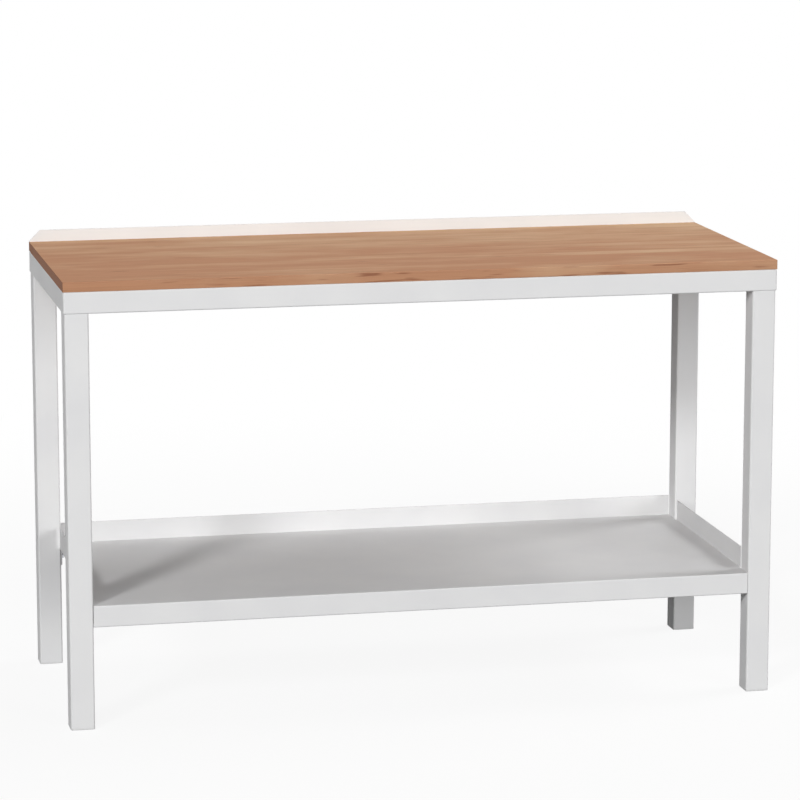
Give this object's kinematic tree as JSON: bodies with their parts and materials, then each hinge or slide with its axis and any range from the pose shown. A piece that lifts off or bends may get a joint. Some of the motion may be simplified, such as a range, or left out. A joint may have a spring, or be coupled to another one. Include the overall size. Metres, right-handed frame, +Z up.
{
  "type": "butcher block table",
  "caption": "Free-standing work table: edge-glued hardwood top with a raised back strip on a square-tube steel frame, and a lipped tray shelf near the floor.",
  "frame": {"origin": "on the floor, under the middle of the frame", "axes": "+X to the right along the length, -Y to the front, +Z up"},
  "size_m": [1.5, 0.6, 0.955],
  "materials": {
    "frame_paint": "light grey powder coat, satin, with a fine orange peel",
    "shelf_paint": "light grey powder coat, satin, with a fine orange peel",
    "upstand_paint": "off-white powder coat, satin",
    "beech": "oiled beech staves, lengthwise grain, satin",
    "foot_plastic": "light grey moulded polyethylene",
    "zinc_plate": "bright zinc plate"
  },
  "bodies": {
    "root": {"board_screws": "zinc_plate", "cross_bearer_left": "frame_paint", "cross_bearer_right": "frame_paint", "foot_front_left": "foot_plastic", "foot_front_right": "foot_plastic", "foot_rear_left": "foot_plastic", "foot_rear_right": "foot_plastic", "front_rail": "frame_paint", "left_rail": "frame_paint", "leg_bolt_washers": "zinc_plate", "leg_bolts": "zinc_plate", "leg_front_left": "frame_paint", "leg_front_right": "frame_paint", "leg_rear_left": "frame_paint", "leg_rear_right": "frame_paint", "leg_rivet_nuts": "zinc_plate", "leg_socket_front_left": "frame_paint", "leg_socket_front_right": "frame_paint", "leg_socket_rear_left": "frame_paint", "leg_socket_rear_right": "frame_paint", "rear_rail": "frame_paint", "rear_upstand": "upstand_paint", "right_rail": "frame_paint", "shelf_bracket_bolts": "zinc_plate", "shelf_bracket_front_left": "frame_paint", "shelf_bracket_front_right": "frame_paint", "shelf_bracket_rear_left": "frame_paint", "shelf_bracket_rear_right": "frame_paint", "shelf_nuts": "zinc_plate", "shelf_rivet_nuts": "zinc_plate", "shelf_stiffener_front": "shelf_paint", "shelf_stiffener_rear": "shelf_paint", "shelf_studs": "zinc_plate", "shelf_tray": "shelf_paint", "worktop_stave_01": "beech", "worktop_stave_02": "beech", "worktop_stave_03": "beech", "worktop_stave_04": "beech", "worktop_stave_05": "beech", "worktop_stave_06": "beech", "worktop_stave_07": "beech", "worktop_stave_08": "beech", "worktop_stave_09": "beech", "worktop_stave_10": "beech", "worktop_stave_11": "beech", "worktop_stave_12": "beech", "worktop_stave_13": "beech", "worktop_stave_14": "beech", "worktop_stave_15": "beech"}
  },
  "joints": []
}
